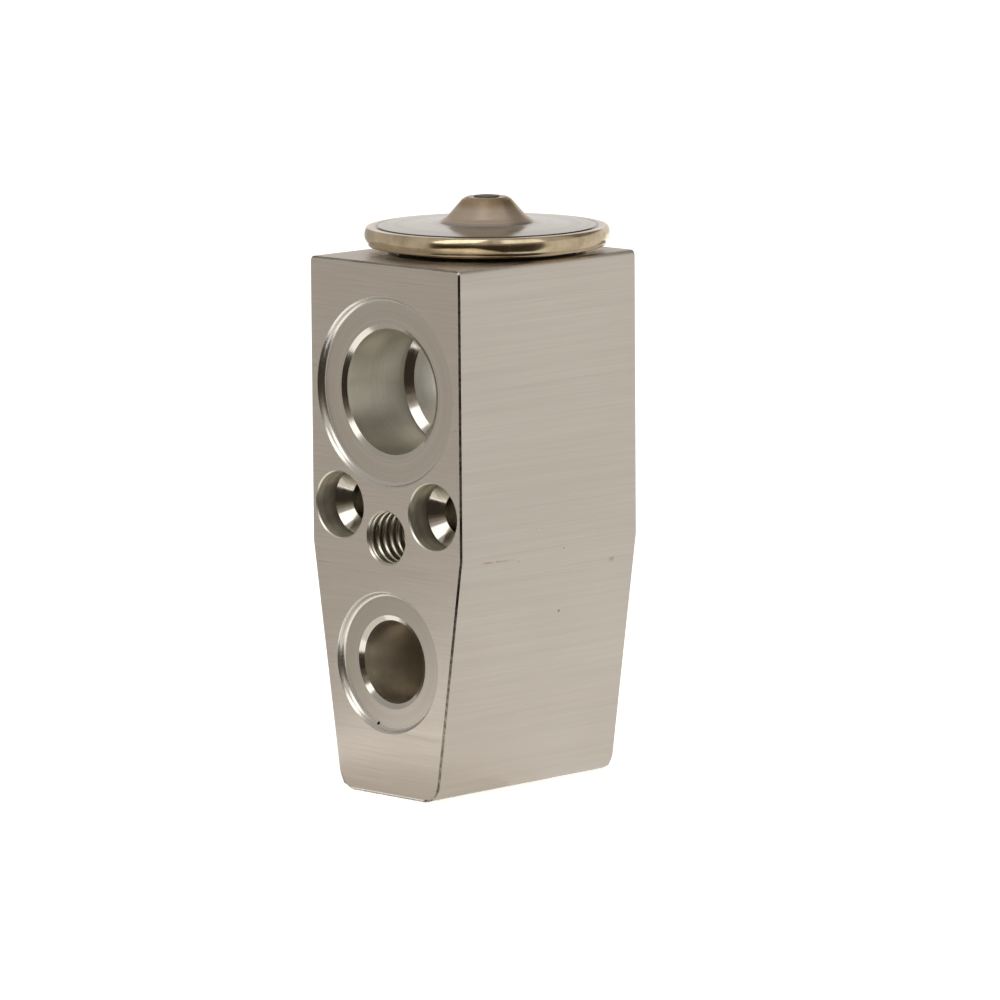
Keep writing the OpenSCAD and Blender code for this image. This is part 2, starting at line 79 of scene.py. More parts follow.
def makeCamera(spec):
    back = direction(spec["azimuth"], spec["elevation"])
    right = direction(spec["azimuth"] + 90, 0)
    up = back.cross(right)
    roll = math.radians(spec["roll"])
    rolledRight = math.cos(roll) * right + math.sin(roll) * up
    rolledUp = -math.sin(roll) * right + math.cos(roll) * up
    focal = spec["lens"] / spec["sensor"] * spec["frameSize"]
    offRight, offDown = ((pixel - spec["frameSize"] / 2) / focal for pixel in spec["aimPixel"])
    forward = (-back - offRight * rolledRight + offDown * rolledUp).normalized()
    axisX = (rolledRight - forward * rolledRight.dot(forward)).normalized()
    axisY = axisX.cross(forward)
    data = bpy.data.cameras.new("photoCamera")
    data.lens = spec["lens"]
    data.sensor_width = spec["sensor"]
    data.clip_start, data.clip_end = spec["clip"]
    camera = addObject("photoCamera", data)
    turn = Matrix((axisX, axisY, -forward)).transposed().to_4x4()
    camera.matrix_world = Matrix.Translation(Vector(spec["aim"]) + back * spec["distance"]) @ turn
    bpy.context.scene.camera = camera


makeCamera(viewpoint)
for leftover in ("Cube", "Light", "Camera"):
    if leftover in bpy.data.objects:
        bpy.data.objects.remove(bpy.data.objects[leftover])
print("stage: camera")


# Small helpers for node trees. A socket knows its own tree, so most of them need only sockets.

def isSocket(value):
    return isinstance(value, bpy.types.NodeSocket)


def treeOf(*values):
    return next(value.id_data for value in values if isSocket(value))


def feed(node, inputs):
    # links or sets a node's inputs by name or number
    for key, value in inputs.items():
        if isSocket(value):
            value.id_data.links.new(value, node.inputs[key])
        else:
            node.inputs[key].default_value = value
    return node


def addNode(tree, kind, inputs=None, **settings):
    node = tree.nodes.new(kind)
    for key, value in settings.items():
        setattr(node, key, value)
    return feed(node, inputs or {})


def calculate(operation, a, b=0.0, clamp=False):
    values = {0: a, 1: b}
    return addNode(treeOf(a, b), "ShaderNodeMath", values, operation=operation, use_clamp=clamp).outputs[0]


add = partial(calculate, "ADD")
subtract = partial(calculate, "SUBTRACT")
multiply = partial(calculate, "MULTIPLY")
divide = partial(calculate, "DIVIDE")
smaller = partial(calculate, "MINIMUM")
larger = partial(calculate, "MAXIMUM")


def ofVectors(operation, a, b=(0, 0, 0), out="Vector"):
    return addNode(treeOf(a, b), "ShaderNodeVectorMath", {0: a, 1: b}, operation=operation).outputs[out]


def lengthOf(vector):
    return ofVectors("LENGTH", vector, out="Value")


def partsOf(vector):
    return addNode(vector.id_data, "ShaderNodeSeparateXYZ", {0: vector}).outputs


def joined(x=0.0, y=0.0, z=0.0):
    return addNode(treeOf(x, y, z), "ShaderNodeCombineXYZ", {0: x, 1: y, 2: z}).outputs[0]


def turnedUp(vector):
    # coordinates whose Z takes the place of Y, for what is round about Z
    return addNode(vector.id_data, "ShaderNodeMapping", {
        "Vector": vector, "Rotation": (math.radians(90), 0, 0)}).outputs[0]


def remap(value, fromMin, fromMax, toMin=0.0, toMax=1.0, smooth=False):
    return addNode(value.id_data, "ShaderNodeMapRange", {
        "Value": value, "From Min": fromMin, "From Max": fromMax, "To Min": toMin, "To Max": toMax},
        interpolation_type="SMOOTHSTEP" if smooth else "LINEAR").outputs[0]


def noise(vector, scale=1.0, detail=1.0, roughness=0.5):
    return addNode(vector.id_data, "ShaderNodeTexNoise", {
        "Vector": vector, "Scale": scale, "Detail": detail, "Roughness": roughness}).outputs["Fac"]


def mixColour(factor, a, b):
    a, b = (value if isSocket(value) else (*value, 1) for value in (a, b))
    return addNode(factor.id_data, "ShaderNodeMix", {0: factor, 6: a, 7: b}, data_type="RGBA").outputs[2]


def stained(tone, mask, share, colour):
    return mixColour(multiply(mask, share), tone, colour)


groups = {}
socketKinds = {int: "Int", float: "Float", tuple: "Vector", bpy.types.Material: "Material"}


def addInput(tree, name, value):
    kind = "NodeSocket" + socketKinds[type(value)]
    return tree.interface.new_socket(name, in_out="INPUT", socket_type=kind)


def newGroup(name, outputs, **inputs):
    # a shader group with these inputs, given by their default values, besides its Coordinates
    tree = bpy.data.node_groups.new(name, "ShaderNodeTree")
    groups[name] = tree
    for key, value in {"Coordinates": (0, 0, 0), **inputs}.items():
        addInput(tree, key.replace("_", " "), value).default_value = value
    for key in outputs:
        tree.interface.new_socket(key, in_out="OUTPUT", socket_type="NodeSocketFloat")
    return tree.nodes.new("NodeGroupInput").outputs, tree.nodes.new("NodeGroupOutput")


# Shared effects. Lengths in them are in metres.

def contrasted(value, contrast):
    return add(multiply(subtract(value, 0.5), contrast), 0.5, clamp=True)


def buildGrainLines():
    # long fine lines, as a cutter or a die leaves: Cell gives the size of a streak along each axis
    given, result = newGroup("grainLines", ["Lines", "Bands"], Cell=(0.02, 0.001, 0.0001), Contrast=1.0)
    scaled = ofVectors("DIVIDE", given["Coordinates"], given["Cell"])
    wide = ofVectors("MULTIPLY", scaled, (0.35, 0.2, 0.16))
    feed(result, {"Lines": contrasted(noise(scaled, detail=2.0, roughness=0.6), given["Contrast"]),
                  "Bands": remap(noise(wide), 0.3, 0.7)})


def buildTurnedRings():
    # rings round the Y axis, from a turning tool: they follow the radius on a face and the depth in a bore
    given, result = newGroup("turnedRings", ["Rings", "Bands"], Pitch=0.00012, Contrast=1.0)
    parts = partsOf(given["Coordinates"])
    radius = lengthOf(joined(x=parts[0], z=parts[2]))
    # the added amounts only keep the noise off its own grid's lines
    along = joined(add(divide(radius, given["Pitch"]), 0.37), divide(parts[1], given["Pitch"]), 0.43)
    feed(result, {"Rings": contrasted(noise(along), given["Contrast"]),
                  "Bands": remap(noise(along, scale=0.13), 0.3, 0.7)})


def buildHandling():
    # soft mottling from handling and oxide, and a few tiny dark specks
    given, result = newGroup("handling", ["Patches", "Specks"],
                             Patch_Size=0.012, Speck_Spacing=0.006, Speck_Size=0.00012)
    patch, spacing = given["Patch Size"], given["Speck Spacing"]
    soft = noise(ofVectors("DIVIDE", given["Coordinates"], joined(patch, patch, patch)),
                 detail=3.0, roughness=0.55)
    spaced = ofVectors("DIVIDE", given["Coordinates"], joined(spacing, spacing, spacing))
    cells = addNode(spaced.id_data, "ShaderNodeTexVoronoi", {"Vector": spaced, "Scale": 1.0})
    reach = multiply(cells.outputs["Distance"], spacing)
    feed(result, {"Patches": remap(soft, 0.3, 0.7, smooth=True),
                  "Specks": calculate("LESS_THAN", reach, given["Speck Size"])})


def buildEdgeWear():
    # a broken bright line along the edges of a box given by its low and high corners
    given, result = newGroup("edgeWear", ["Wear"], Low=(0, 0, 0), High=(0, 0, 0), Width=0.0005)
    fromLow = ofVectors("ABSOLUTE", ofVectors("SUBTRACT", given["Coordinates"], given["Low"]))
    fromHigh = ofVectors("ABSOLUTE", ofVectors("SUBTRACT", given["High"], given["Coordinates"]))
    gaps = partsOf(ofVectors("MINIMUM", fromLow, fromHigh))
    # the middle one of the three distances is small only near an edge
    middle = larger(smaller(gaps[0], gaps[1]), smaller(larger(gaps[0], gaps[1]), gaps[2]))
    rough = noise(given["Coordinates"], scale=900.0, detail=3.0)
    reach = multiply(given["Width"], remap(rough, 0.35, 0.75, 0.1, 2.0))
    feed(result, {"Wear": remap(divide(middle, reach), 0.4, 1.0, 1.0, 0.0)})


def buildScuff():
    # one short mark, Centre to its middle, along Direction
    given, result = newGroup("scuff", ["Mark"], Centre=(0, 0, 0), Direction=(0, 1, 0), Half_Length=0.002,
                             Half_Width=0.0002)
    off = ofVectors("SUBTRACT", given["Coordinates"], given["Centre"])
    along = ofVectors("DOT_PRODUCT", off, given["Direction"], out="Value")
    alongOnly = addNode(off.id_data, "ShaderNodeVectorMath", {0: given["Direction"], "Scale": along},
                        operation="SCALE").outputs[0]
    across = lengthOf(ofVectors("SUBTRACT", off, alongOnly))
    inLength = remap(divide(calculate("ABSOLUTE", along), given["Half Length"]), 0.6, 1.0, 1.0, 0.0)
    inWidth = remap(divide(across, given["Half Width"]), 0.3, 1.0, 1.0, 0.0)
    broken = remap(noise(given["Coordinates"], scale=1500.0, detail=2.0), 0.35, 0.6)
    feed(result, {"Mark": multiply(multiply(inLength, inWidth), broken)})


for build in (buildGrainLines, buildTurnedRings, buildHandling, buildEdgeWear, buildScuff):
    build()
print("stage: shared effects")


def useGroup(name, coordinates, **sizes):
    inputs = {key.replace("_", " "): value for key, value in sizes.items()}
    return addNode(coordinates.id_data, "ShaderNodeGroup", {"Coordinates": coordinates, **inputs},
                   node_tree=groups[name]).outputs


def newMaterial(name, metallic=1.0):
    material = bpy.data.materials.new(name)
    material.use_nodes = True
    shader = material.node_tree.nodes["Principled BSDF"]
    shader.inputs["Metallic"].default_value = metallic
    return material, shader


def objectCoordinates(shader, centre=(0, 0, 0), mirrored=False):
    # coordinates with their zero moved to centre, given in millimetres
    tree = shader.id_data
    place = addNode(tree, "ShaderNodeTexCoord").outputs["Object"]
    if mirrored:
        place = ofVectors("ABSOLUTE", place)
    return addNode(tree, "ShaderNodeMapping", {
        "Vector": place, "Location": tuple(-c * mm for c in centre)}).outputs[0]


def dress(shader, tone, roughness, height, strength, depth=0.02):
    # depth of the bump in millimetres
    bump = addNode(shader.id_data, "ShaderNodeBump", {
        "Height": height, "Strength": strength, "Distance": depth * mm})
    feed(shader, {"Base Color": tone, "Roughness": roughness, "Normal": bump.outputs["Normal"]})


ringDefaults = {
    "centre": (0, 0, 0), "axis": "y", "mirrored": False, "patch": 5, "mottle": 0.3, "turnedMottle": True,
    "contrast": 1.2,
}


def ringMetal(name, ownLook):
    # metal with a turning tool's rings round its Y or Z axis through the look's centre
    look = {**ringDefaults, **ownLook}
    material, shader = newMaterial(name)
    own = objectCoordinates(shader, look["centre"], look["mirrored"])
    place = turnedUp(own) if look["axis"] == "z" else own
    rings = useGroup("turnedRings", place, Pitch=look["pitch"] * mm, Contrast=look["contrast"])
    dirt = useGroup("handling", place if look["turnedMottle"] else own, Patch_Size=look["patch"] * mm)
    tone = mixColour(rings["Rings"], look["dark"], look["light"])
    tone = stained(tone, dirt["Patches"], look["mottle"], look["stain"])
    if "speck" in look:
        spot, reach, colour = look["speck"]
        away = lengthOf(ofVectors("SUBTRACT", place, tuple(c * mm for c in spot)))
        tone = mixColour(remap(away, 0.8 * reach * mm, reach * mm, 1.0, 0.0, smooth=True), tone, colour)
    dress(shader, tone, remap(rings["Bands"], 0, 1, *look["roughness"]), rings["Rings"], look["bump"])
    return material


# The block: an extruded length of aluminium, faced, bored and drilled. Sizes are in millimetres.

blockLook = {
    "width": 32.1, "waist": 37.8, "footWidth": 20.86, "height": 81.4,
    "boltZ": 43.8, "boltX": 10.0, "boltHoleR": 3.2, "counterboreR": 5.05, "studZ": 39.65, "studReach": 4.4,
    "stemReach": 14.6,          # of the widest hole round the valve's own axis
    "recessDepth": 1.0, "recessWall": 1.0, "wallLedge": 0.12,
    "wallShare": 0.68,          # of the wall's width that is left once it is worn round
    "wallTurns": (28, 56),      # the worn wall's normal from the face's, in degrees, at rim and ledge
    "stepTurn": 37,             # the same for the step between the suction bore and its passage
    "mouthChamfer": 0.8, "frontBoreDepth": 13.5, "backBoreDepth": 9.5,
    "boreStep": 1.9,            # reach of the steps inside a bore's wall
    "edgeBreak": 0.28,          # of the deburred edges round the faced ends
}
ports = {
    "suction": {"z": 61.8, "recessR": 14.6, "boreR": 9.6},
    "inlet": {"z": 20.5, "recessR": 10.9, "boreR": 6.4},
    "outlet": {"z": 30.1, "recessR": 10.9, "boreR": 6.4},
}
# lengths in millimetres, and parts of a normal
faceTests = {"flush": 0.01, "slack": 0.05, "square": 0.99, "sloped": (0.2, 0.98)}
grainLooks = {
    # the front and back faces, milled in passes from side to side
    "facedAluminium": {
        "cell": (0.011, 0.01, 0.00013), "contrast": 1.5, "patch": 0.016,
        "speckSpacing": 0.011, "wearWidth": 0.00035,
        "dark": (0.60, 0.54, 0.47), "light": (0.77, 0.70, 0.62), "speck": (0.15, 0.12, 0.09),
        "stain": (0.25, (0.63, 0.56, 0.48)), "worn": (0.5, (0.92, 0.87, 0.80)),
        "roughness": (0.33, 0.42), "bump": 0.12,
    },
    # the sides, top and bottom as the extrusion die left them, with lines along Y
    "drawnAluminium": {
        "cell": (0.0003, 0.026, 0.00022), "contrast": 1.3, "patch": 0.02,
        "speckSpacing": 0.013, "wearWidth": 0.0004,
        "dark": (0.66, 0.605, 0.54), "light": (0.79, 0.73, 0.66), "speck": (0.18, 0.15, 0.12),
        "stain": (0.2, (0.66, 0.60, 0.53)), "worn": (0.4, (0.92, 0.87, 0.80)),
        "roughness": (0.35, 0.43), "bump": 0.10,
    },
}
# pale die streaks on the drawn faces; heights and shares paint them stronger towards the foot, a painted
# reflection of the bright floor
streakAndSheenLook = {
    "cell": (0.001, 0.06, 0.0011), "contrast": 1.2, "share": 0.55, "colour": (0.87, 0.80, 0.71),
    "heights": (0.040, 0.020), "shares": (0.35, 1.0),
}
sideMarks = [
    # centre, direction, half length and half width in mm, strength, colour
    ((15.95, -14.2, 36.78), (0, 1, -0.03), 3.8, 0.19, 0.85, (0.50, 0.31, 0.18)),
    ((15.95, -9.7, 36.25), (0, 1, 0), 0.25, 0.22, 0.7, (0.20, 0.12, 0.07)),
    ((15.97, 0.0, 37.27), (0, 1, 0), 0.22, 0.20, 0.6, (0.22, 0.15, 0.10)),
    ((14.5, 0.3, 27.4), (0, 1, 0), 0.30, 0.26, 0.85, (0.14, 0.10, 0.07)),
    ((15.52, 10.7, 34.3), (0, 1, 0), 0.8, 0.5, 0.35, (0.24, 0.20, 0.16)),
]


def addStreaksAndFloorSheen(tone, place):
    # broad pale streaks of the die, stronger towards the foot: that growth is a painted reflection of the
    # bright floor
    broad = useGroup("grainLines", place, Cell=streakAndSheenLook["cell"], Contrast=streakAndSheenLook["contrast"])
    floorSheenShare = remap(partsOf(place)[2], *streakAndSheenLook["heights"], *streakAndSheenLook["shares"], smooth=True)
    return stained(tone, multiply(broad["Lines"], floorSheenShare), streakAndSheenLook["share"], streakAndSheenLook["colour"])


def addSideMarks(tone, place):
    for centre, along, halfLength, halfWidth, strength, colour in sideMarks:
        mark = useGroup("scuff", place, Centre=tuple(c * mm for c in centre),
                        Direction=tuple(Vector(along).normalized()),
                        Half_Length=halfLength * mm, Half_Width=halfWidth * mm)
        tone = stained(tone, mark["Mark"], strength, colour)
    return tone


def grainMetal(name):
    # aluminium with long fine lines, worn bright along the block's edges
    look, drawn = grainLooks[name], name == "drawnAluminium"
    material, shader = newMaterial(name)
    place = objectCoordinates(shader)
    fine = useGroup("grainLines", place, Cell=look["cell"], Contrast=look["contrast"])
    dirt = useGroup("handling", place, Patch_Size=look["patch"], Speck_Spacing=look["speckSpacing"])
    low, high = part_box("valve_body")
    wear = useGroup("edgeWear", place, Low=low, High=high, Width=look["wearWidth"])
    tone = mixColour(fine["Lines"], look["dark"], look["light"])
    # the drawn faces' streaks, painted paler towards the foot as the floor's reflection
    if drawn:
        tone = addStreaksAndFloorSheen(tone, place)
    tone = stained(tone, dirt["Patches"], *look["stain"])
    tone = stained(tone, wear["Wear"], *look["worn"])
    tone = mixColour(dirt["Specks"], tone, look["speck"])
    if drawn:
        tone = addSideMarks(tone, place)
    dress(shader, tone, remap(fine["Bands"], 0, 1, *look["roughness"]), fine["Lines"], look["bump"])
    return material


# the suction bore's tones, raised close to white above the liquid bores': painted light for the light that
# reaches into the wide bore
suctionBoreLitLook = {
    "dark": (0.86, 0.83, 0.75), "light": (0.98, 0.965, 0.90), "stain": (0.82, 0.77, 0.68),
    "roughness": (0.34, 0.45), "pitch": 0.22, "contrast": 1.3, "bump": 0.06, "mottle": 0.35,
}
liquidBoreLook = {
    "dark": (0.60, 0.545, 0.465), "light": (0.74, 0.685, 0.60), "stain": (0.52, 0.46, 0.37),
    "roughness": (0.36, 0.44), "pitch": 0.09, "contrast": 0.9, "bump": 0.04,
}
suctionRecessLook = {
    "dark": (0.56, 0.505, 0.44), "light": (0.71, 0.645, 0.57), "stain": (0.57, 0.50, 0.42),
    "roughness": (0.30, 0.38), "pitch": 0.13, "bump": 0.06, "mottle": 0.2,
}
liquidRecessLook = {
    **suctionRecessLook, "dark": (0.50, 0.45, 0.39), "light": (0.64, 0.58, 0.51), "stain": (0.51, 0.45, 0.38),
}
chamferLook = {
    "dark": (0.56, 0.51, 0.44), "light": (0.72, 0.68, 0.61), "stain": (0.52, 0.46, 0.38),
    "roughness": (0.10, 0.17), "pitch": 0.10, "bump": 0.05, "mottle": 0.15,
}
wallLook = {
    **chamferLook, "dark": (0.64, 0.60, 0.54), "light": (0.82, 0.78, 0.72), "stain": (0.60, 0.54, 0.46),
    "roughness": (0.18, 0.26),
}
drilledLook = {
    "dark": (0.60, 0.56, 0.48), "light": (0.80, 0.77, 0.68), "stain": (0.48, 0.42, 0.33),
    "roughness": (0.20, 0.32), "pitch": 0.22, "contrast": 1.6, "bump": 0.12, "mottle": 0.35,
}
# the counterbores' tones, raised close to white: painted light inside the holes
counterboreLitLook = {
    "dark": (0.72, 0.70, 0.62), "light": (0.98, 0.97, 0.89), "stain": (0.62, 0.58, 0.48),
    "roughness": (0.30, 0.46), "pitch": 0.6, "contrast": 2.2, "bump": 0.25, "mottle": 0.4, "patch": 2.5,
}
# the narrow flats on the faced ends' edges, painted near black: a painted dark reflection of the camera's side
darkEdgeBreakLook = {
    "dark": (0.18, 0.15, 0.12), "light": (0.52, 0.48, 0.42), "stain": (0.14, 0.11, 0.08),
    "roughness": (0.20, 0.45), "pitch": 0.5, "contrast": 2.2, "bump": 0.3,
}
inletSpeck = ((-2.95, -21.25, -9.65), 0.32, (0.03, 0.025, 0.02))     # from the port's centre, radius, colour


def blockMaterials():
    made = {"faced": grainMetal("facedAluminium"), "drawn": grainMetal("drawnAluminium")}
    for port, sizes in ports.items():
        centre = {"centre": (0, 0, sizes["z"])}
        marked = {**centre, "speck": inletSpeck} if port == "inlet" else centre
        suction = port == "suction"
        # the suction bore's tone carries painted light
        made[port + "Bore"] = ringMetal(
            port + "BoreFinish", {**(suctionBoreLitLook if suction else liquidBoreLook), **centre})
        made[port + "Recess"] = ringMetal(
            port + "RecessFinish", {**(suctionRecessLook if suction else liquidRecessLook), **marked})
        made[port + "Wall"] = ringMetal(port + "WallFinish", {**wallLook, **marked})
        made[port + "Chamfer"] = ringMetal(port + "ChamferFinish", {**chamferLook, **centre})
    boltCentre = {"centre": (blockLook["boltX"], 0, blockLook["boltZ"]), "mirrored": True}
    made["bolt"] = ringMetal("boltHoleFinish", {**drilledLook, **boltCentre})
    made["counterbore"] = ringMetal("counterboreFinish", {**counterboreLitLook, **boltCentre})
    made["boltStep"] = ringMetal("boltStepFinish", {**chamferLook, **boltCentre})
    made["stud"] = ringMetal("studHoleFinish", {**drilledLook, "centre": (0, 0, blockLook["studZ"])})
    made["stem"] = ringMetal("stemHoleFinish", {**drilledLook, "axis": "z"})
    # painted dark reflection on the edge breaks
    made["broken"] = ringMetal("edgeBreakDarkReflection", darkEdgeBreakLook)
    return made


def halfWidthAt(z):
    share = min(max(z / blockLook["waist"], 0), 1)
    return (blockLook["footWidth"] + (blockLook["width"] - blockLook["footWidth"]) * share) / 2


def portFinish(port, x, z, normal, depth):
    # the finish of a face of this port, or nothing where the face isn't the port's
    portZ, recessR, boreR = ports[port]["z"], ports[port]["recessR"], ports[port]["boreR"]
    reach = math.hypot(x, z - portZ)
    slack, (leastSlope, mostSlope) = faceTests["slack"], faceTests["sloped"]
    lean = abs(normal.y)
    if reach > recessR + slack:
        return None
    if depth < blockLook["recessDepth"] - 0.001:
        return port + "Wall"
    if lean > faceTests["square"] and depth < blockLook["recessDepth"] + 0.02:
        return port + "Recess"
    facesAxis = normal.x * x + normal.z * (z - portZ) < -0.1
    if facesAxis and boreR - blockLook["boreStep"] < reach <= boreR + blockLook["mouthChamfer"] + slack:
        sloped = leastSlope < lean < mostSlope and depth < blockLook["frontBoreDepth"] + 3
        return port + ("Chamfer" if sloped else "Bore")
    if port != "suction" and reach < boreR and depth > blockLook["backBoreDepth"] - 0.5 and lean > leastSlope:
        return port + "Bore"
    return None


def finishOf(centre, normal, frontY, backY):
    # names the finish of a face of the block from where it is, in millimetres
    x, y, z = centre
    fromFront, fromBack = y - frontY, backY - y
    depth = min(fromFront, fromBack)
    leastSlope, mostSlope = faceTests["sloped"]
    if depth < faceTests["flush"] and abs(normal.y) > faceTests["square"]:
        return "faced"
    for port in ("suction", "inlet" if fromFront < fromBack else "outlet"):
        finish = portFinish(port, x, z, normal, depth)
        if finish:
            return finish
    reach = math.hypot(abs(x) - blockLook["boltX"], z - blockLook["boltZ"])
    if reach < blockLook["counterboreR"] + 0.35:
        if leastSlope < abs(normal.y) < mostSlope and blockLook["boltHoleR"] < reach and 0.5 < depth:
            return "boltStep"
        return "counterbore" if reach > blockLook["counterboreR"] - 0.1 else "bolt"
    if math.hypot(x, z - blockLook["studZ"]) < blockLook["studReach"] and y < 0:
        return "stud"
    inward = normal.x * x + normal.y * y < -0.01
    inside = 0.05 < z < blockLook["height"] - 0.1 and abs(x) < halfWidthAt(z) - 1
    level = abs(normal.z) > leastSlope and inside
    if math.hypot(x, y) < blockLook["stemReach"] and (inward or level):
        return "stem"
    return "drawn"


def turnedNormal(place, portZ, turn, side):
    # the face's normal turned towards the port's axis
    inward = Vector((-place.x, 0, portZ - place.z)).normalized()
    return inward * math.sin(math.radians(turn)) + Vector((0, side * math.cos(math.radians(turn)), 0))


def wallNormal(place, port, side):
    # the wall's two slopes are worn round: steepest at the ledge between them, flat at the recess's floor
    slope = (blockLook["recessWall"] - blockLook["wallLedge"]) / 2
    start, steep = blockLook["wallTurns"]
    reach = math.hypot(place.x, place.z - port["z"])
    inset = (port["recessR"] - reach) / blockLook["wallShare"]
    if inset < slope:
        turn = start + (steep - start) * inset / slope
    else:
        past = max(inset - slope - blockLook["wallLedge"], 0) / (1.5 * slope)
        turn = steep * max(1 - past, 0)
    return turnedNormal(place, port["z"], turn, side)


def narrowWalls(work, order):
    # each recess's wall keeps its outer radius, and its inner edges move out
    for name, port in ports.items():
        touched = {v for face in work.faces if order[face.material_index] == name + "Wall" for v in face.verts}
        for v in touched:
            spoke = Vector((v.co.x, 0, v.co.z - port["z"] * mm))
            inset = port["recessR"] * mm - spoke.length
            spoke = spoke.normalized() * (port["recessR"] * mm - inset * blockLook["wallShare"])
            v.co.x, v.co.z = spoke.x, port["z"] * mm + spoke.z


def breakEdges(work, order, depthOf, topZ):
    # the outer edges of the faced ends get a narrow flat, painted dark as a dark reflection; its faces are
    # given back
    ends = []
    for edge in work.edges:
        a, b = (v.co for v in edge.verts)
        if abs(a.y - b.y) > 1e-6 or depthOf((a.y + b.y) / 2 / mm) > faceTests["flush"]:
            continue
        sides = [face for face in edge.link_faces if abs(face.normal.y) < 0.1]
        if len(edge.link_faces) != 2 or len(sides) != 1:
            continue
        outside = (a + b) / 2 / mm + sides[0].normal * 0.5
        if abs(outside.x) > halfWidthAt(outside.z) or not 0 < outside.z < topZ:
            ends.append(edge)
    made = bmesh.ops.bevel(work, geom=ends, offset=blockLook["edgeBreak"] * mm, offset_type="OFFSET",
                           segments=1, profile=0.5, affect="EDGES", clamp_overlap=False,
                           material=order.index("broken"))
    print("stage: block,", len(ends), "edges broken,", len(work.faces), "faces")
    return set(made["faces"])


def setNormals(work, order, layer, fresh, depthOf):
    # the exact normals stay, except on the broken edges, the recess walls and the suction passage's steps
    for face in work.faces:
        face.smooth = True
        finish = order[face.material_index]
        y = face.calc_center_median().y / mm
        side = -1 if y < 0 else 1
        for corner in face.loops:
            place = corner.vert.co / mm
            if face in fresh:
                corner[layer] = face.normal
            elif finish.endswith("Wall"):
                corner[layer] = wallNormal(place, ports[finish[:-4]], side)
            elif finish == "suctionChamfer" and depthOf(y) > 5:
                corner[layer] = turnedNormal(place, ports["suction"]["z"], blockLook["stepTurn"], side)


def buildBlock():
    source = nodes["valve_body"].data
    mesh = source.copy()
    exact = np.zeros(len(mesh.loops) * 3, np.float32)
    source.corner_normals.foreach_get("vector", exact)
    mesh.attributes.new("exactNormal", "FLOAT_VECTOR", "CORNER").data.foreach_set("vector", exact)
    materials = blockMaterials()
    order = list(materials)
    mesh.materials.clear()
    for material in materials.values():
        mesh.materials.append(material)
    low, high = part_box("valve_body")
    frontY, backY = low.y / mm, high.y / mm

    def depthOf(y):
        return min(y - frontY, backY - y)

    work = bmesh.new()
    work.from_mesh(mesh)
    bmesh.ops.remove_doubles(work, verts=work.verts, dist=0.0005 * mm)
    for face in work.faces:
        face.material_index = order.index(finishOf(face.calc_center_median() / mm, face.normal, frontY, backY))
    narrowWalls(work, order)
    fresh = breakEdges(work, order, depthOf, high.z / mm)
    setNormals(work, order, work.loops.layers.float_vector["exactNormal"], fresh, depthOf)
    work.to_mesh(mesh)
    work.free()
    exact = np.zeros(len(mesh.loops) * 3, np.float32)
    mesh.attributes["exactNormal"].data.foreach_get("vector", exact)
    mesh.attributes.remove(mesh.attributes["exactNormal"])
    mesh.normals_split_custom_set(exact.reshape(-1, 3))
    block = addObject("dressedBlock", mesh)
    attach(block, "housing")
    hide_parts("valve_body")
    return materials


blockFinishes = buildBlock()


# Geometry Nodes helpers

def inMetres(lengths):
    return {name: length * mm for name, length in lengths.items()}


def newGeometryTree(name, inputs):
    # gives the tree, its inputs' sockets and their identifiers by name
    tree = bpy.data.node_groups.new(name, "GeometryNodeTree")
    tree.interface.new_socket("Geometry", in_out="INPUT", socket_type="NodeSocketGeometry")
    ids = {}
    for key, value in inputs.items():
        ids[key] = addInput(tree, key, value).identifier
    tree.interface.new_socket("Geometry", in_out="OUTPUT", socket_type="NodeSocketGeometry")
    return tree, tree.nodes.new("NodeGroupInput").outputs, ids


def endTree(geometry, material):
    tree = geometry.id_data
    real = addNode(tree, "GeometryNodeRealizeInstances", {0: geometry}).outputs[0]
    painted = addNode(tree, "GeometryNodeSetMaterial", {"Geometry": real, "Material": material}).outputs[0]
    addNode(tree, "NodeGroupOutput", {0: painted})


def growPiece(name, buildTree, inputs):
    # runs the tree once and keeps its result as a plain mesh
    tree, ids = buildTree(inputs)
    seed = addObject(name + "Seed", bpy.data.meshes.new(name + "Seed"))
    modifier = seed.modifiers.new("grow", "NODES")
    modifier.node_group = tree
    for key, value in inputs.items():
        modifier[ids[key]] = value
    view = bpy.context.evaluated_depsgraph_get()
    mesh = bpy.data.meshes.new_from_object(seed.evaluated_get(view), depsgraph=view)
    seed.modifiers.remove(modifier)
    bpy.data.objects.remove(seed)
    mesh.name = name
    return addObject(name, mesh)


def lineOfTurns(tree, given):
    # a line with Steps points for each of its Turns, and the turns that lie before each point
    line = addNode(tree, "GeometryNodeCurvePrimitiveLine").outputs[0]
    path = addNode(tree, "GeometryNodeResampleCurve", {
        "Curve": line, "Count": multiply(given["Turns"], given["Steps"])}).outputs[0]
    share = addNode(tree, "GeometryNodeSplineParameter").outputs["Factor"]
    return path, multiply(share, given["Turns"])


def moved(geometry, place):
    return addNode(geometry.id_data, "GeometryNodeSetPosition", {
        "Geometry": geometry, "Position": place}).outputs[0]


def wound(path, turn, radius, height):
    angle = multiply(turn, 2 * math.pi)
    place = joined(multiply(calculate("COSINE", angle), radius),
                   multiply(calculate("SINE", angle), radius), height)
    turned = addNode(path.id_data, "GeometryNodeSetCurveNormal", {"Curve": moved(path, place)}, mode="Z_UP")
    return turned.outputs[0]


# The thread in the stud hole: a winding band, a little proud of the wall, on a wedge in the metal

studThread = {
    "lengths": {"Radius": 3.97, "Pitch": 1.411, "Band Width": 1.22,
                "Stand Out": 0.05,      # of the band, from the wall into the hole
                "Wedge Depth": 0.66, "Wedge Width": 0.2},
    "counts": {"Turns": 8.0, "Steps": 64},
    "start": 0.35,                      # depth of the first turn below the face
    "fadesPerTurn": 2.0,                # its ends fade out over half a turn
}


